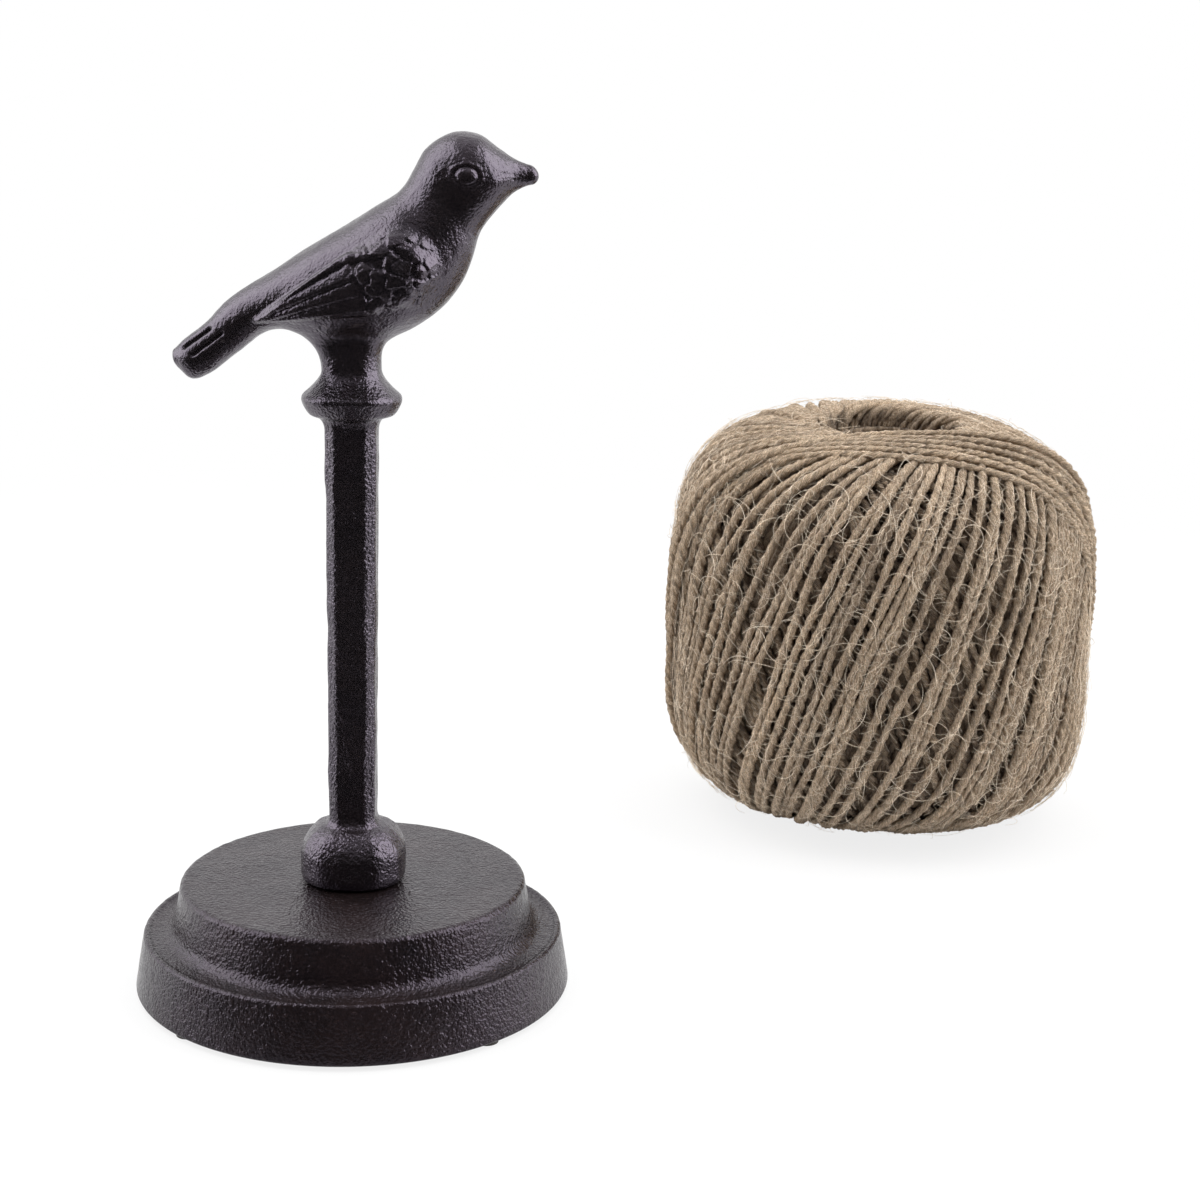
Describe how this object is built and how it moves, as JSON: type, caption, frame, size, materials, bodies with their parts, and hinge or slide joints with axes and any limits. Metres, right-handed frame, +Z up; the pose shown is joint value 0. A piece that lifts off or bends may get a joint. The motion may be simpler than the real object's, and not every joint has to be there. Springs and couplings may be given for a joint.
{
  "type": "string holder",
  "caption": "Cast-iron bird string holder: a stepped round base, an octagonal post with a collar and a bird on top, and a ball of jute twine with a centre hole.",
  "frame": {"origin": "on the floor, at the spindle's axis, under the middle of the base", "axes": "+Z up along the spindle, +X towards the bird's beak and the ball of twine, +Y to the back"},
  "size_m": [0.271, 0.273, 0.2145],
  "materials": {
    "iron_base": "brown-black paint over a fine sand-cast grain",
    "iron_spindle": "brown-black paint over a hand-finished casting",
    "felt": "pressed wool felt",
    "steel": "bright threaded steel",
    "jute_core": "wound jute twine in shade",
    "jute": "natural jute twine with loose fibres"
  },
  "bodies": {
    "base": {"base_casting": "iron_base", "felt_pads": "felt"},
    "stud": {"spindle_stud": "steel"},
    "spindle": {"bird_spindle": "iron_spindle"},
    "twine_ball": {"twine_core": "jute_core", "twine_winding": "jute"}
  },
  "joints": [
    {"name": "spindle_lift", "type": "slide", "parent": "base", "child": "stud", "axis": [0, 0, 1], "range_m": [0, 0.012]},
    {"name": "spindle_turn", "type": "hinge", "parent": "stud", "child": "spindle", "pos_m": [0, 0, 0.0281], "axis": [0, 0, 1], "range_deg": [0, 3456]},
    {"name": "ball_turn", "type": "hinge", "parent": "base", "child": "twine_ball", "pos_m": [0.15, 0.152, 0.063], "axis": [0, 0, 1], "continuous": true}
  ],
  "couplings": [
    {"joint": "spindle_lift", "follows": "spindle_turn", "m_per_rad": 0.00019894}
  ]
}
